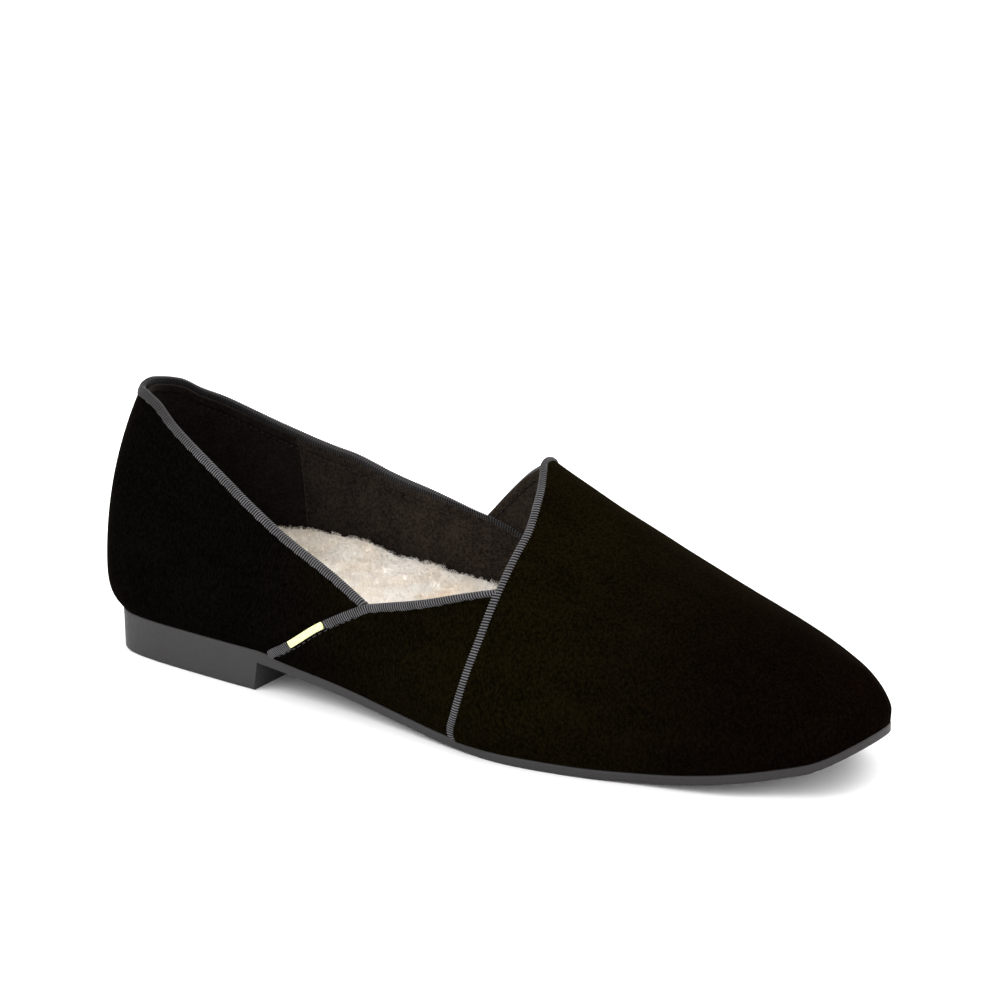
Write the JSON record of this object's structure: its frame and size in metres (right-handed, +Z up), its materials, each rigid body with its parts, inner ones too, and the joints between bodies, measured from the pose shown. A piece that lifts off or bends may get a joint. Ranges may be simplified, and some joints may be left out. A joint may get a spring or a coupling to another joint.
{
  "type": "slipper loafer",
  "caption": "Low slipper-shaped shoe, hollow upper with a dipped collar and a pointed vamp edge, thick fleece footbed and a thin sole with a low heel block.",
  "frame": {"origin": "middle of the heel's flat underside, on the floor", "axes": "+X towards the toe, +Y towards the inner side of this right shoe, +Z up"},
  "size_m": [0.2596, 0.0866, 0.0825],
  "materials": {
    "sole_rubber": "matte",
    "velvet": "napped",
    "fleece": "deep pile",
    "ribbon": "ribbed",
    "yellow_ribbon": "plain weave"
  },
  "bodies": {
    "root": {"outsole": "sole_rubber", "upper": "velvet", "insole": "fleece", "vamp_binding": "ribbon", "side_panel_binding": "ribbon", "collar_binding": "ribbon", "ribbon_tab": "yellow_ribbon"}
  },
  "joints": []
}
